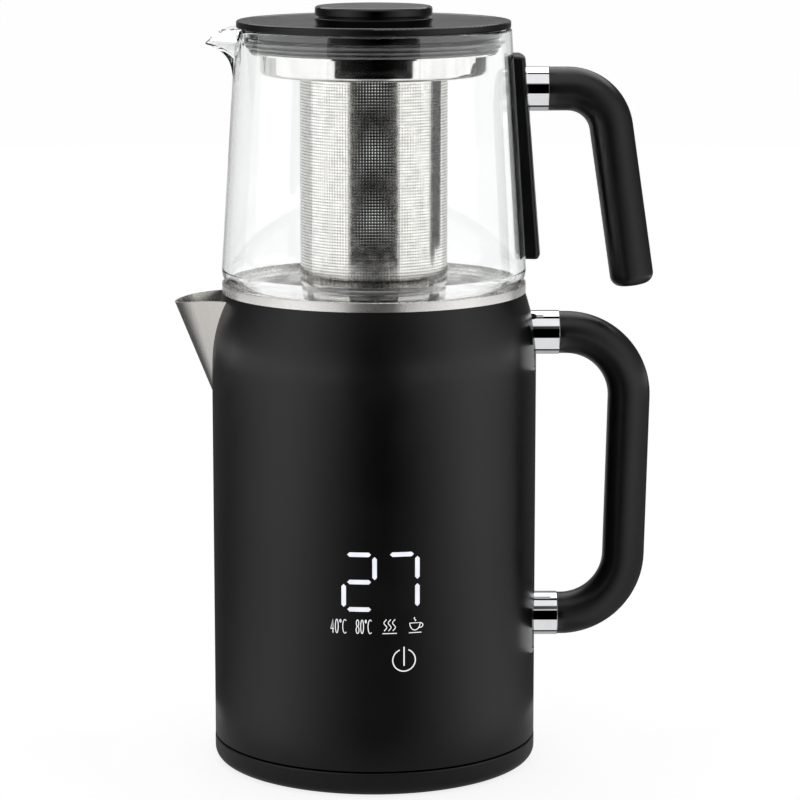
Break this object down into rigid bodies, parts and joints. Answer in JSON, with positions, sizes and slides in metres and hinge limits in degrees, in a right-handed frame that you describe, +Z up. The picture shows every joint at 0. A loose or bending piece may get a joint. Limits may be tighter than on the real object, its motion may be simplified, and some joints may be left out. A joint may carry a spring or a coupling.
{
  "type": "electric tea maker",
  "caption": "Two-tier electric tea maker: a corded power base, a touch-controlled kettle with a spout and handle, and a glass teapot with a lidded steel infuser standing in its mouth.",
  "frame": {"origin": "centre of the face that the base rests on, on the axis of the kettle", "axes": "+Z up along the kettle's axis, +X towards the two handles, -X towards the two spouts, -Y towards the display"},
  "size_m": [0.2281, 0.1556, 0.363],
  "materials": {
    "aluminium": "as cast",
    "black_coating": "satin",
    "black_plastic": "matte",
    "black_rubber": "matte",
    "brass": "plain",
    "bright_steel": "polished",
    "brushed_steel": "brushed",
    "chrome_ring": "polished",
    "circuit_board": "solder mask",
    "clear_bond": "satin",
    "clear_glass": "clear",
    "grey_silicone": "matte",
    "inner_plastic": "matte",
    "light_guide": "frosted",
    "screw_steel": "zinc"
  },
  "bodies": {
    "power_base": {"base_cover": "black_plastic", "base_plate": "black_plastic", "foot_ring": "black_rubber", "base_screws": "screw_steel", "base_socket": "black_plastic", "socket_contacts": "brass", "cord_gland": "black_rubber"},
    "connector": {"kettle_coupler": "black_plastic", "coupler_contacts": "brass"},
    "kettle": {"outer_shell": "black_coating", "inner_pot": "brushed_steel", "pot_gasket": "grey_silicone", "top_collar": "bright_steel", "kettle_spout": "brushed_steel", "spout_duct": "inner_plastic", "spout_strainer": "brushed_steel", "upper_ferrule": "chrome_ring", "lower_ferrule": "chrome_ring", "kettle_grip": "black_plastic", "handle_screws": "screw_steel", "bottom_housing": "black_plastic", "housing_screws": "screw_steel", "heater_plate": "aluminium", "heating_element": "aluminium", "temperature_sensor": "brushed_steel", "thermal_cutouts": "inner_plastic", "control_board": "circuit_board", "display_board": "circuit_board", "light_guide": "light_guide", "touch_springs": "brass"},
    "tray": {"steam_tray": "bright_steel"},
    "teapot": {"glass_pot": "clear_glass", "handle_plate": "black_plastic", "handle_bond": "clear_bond", "teapot_ferrule": "chrome_ring", "teapot_grip": "black_plastic", "teapot_screw": "screw_steel"},
    "infuser": {"infuser_wall": "brushed_steel", "infuser_cup": "brushed_steel", "infuser_collar": "bright_steel", "infuser_seal": "grey_silicone"},
    "teapot_lid": {"lid_cover": "black_plastic", "lid_plug": "inner_plastic", "knob_foot": "black_plastic", "knob_cap": "black_plastic", "lid_screw": "screw_steel"}
  },
  "joints": [
    {"name": "kettle_lift", "type": "slide", "parent": "power_base", "child": "connector", "axis": [0, 0, 1], "range_m": [0, 0.06]},
    {"name": "kettle_swivel", "type": "hinge", "parent": "connector", "child": "kettle", "pos_m": [0, 0, 0.028], "axis": [0, 0, 1], "continuous": true},
    {"name": "tray_lift", "type": "slide", "parent": "kettle", "child": "tray", "axis": [0, 0, 1], "range_m": [0, 0.04]},
    {"name": "teapot_lift", "type": "slide", "parent": "tray", "child": "teapot", "axis": [0, 0, 1], "range_m": [0, 0.08]},
    {"name": "infuser_lift", "type": "slide", "parent": "teapot", "child": "infuser", "axis": [0, 0, 1], "range_m": [0, 0.13]},
    {"name": "lid_lift", "type": "slide", "parent": "infuser", "child": "teapot_lid", "axis": [0, 0, 1], "range_m": [0, 0.05]}
  ]
}
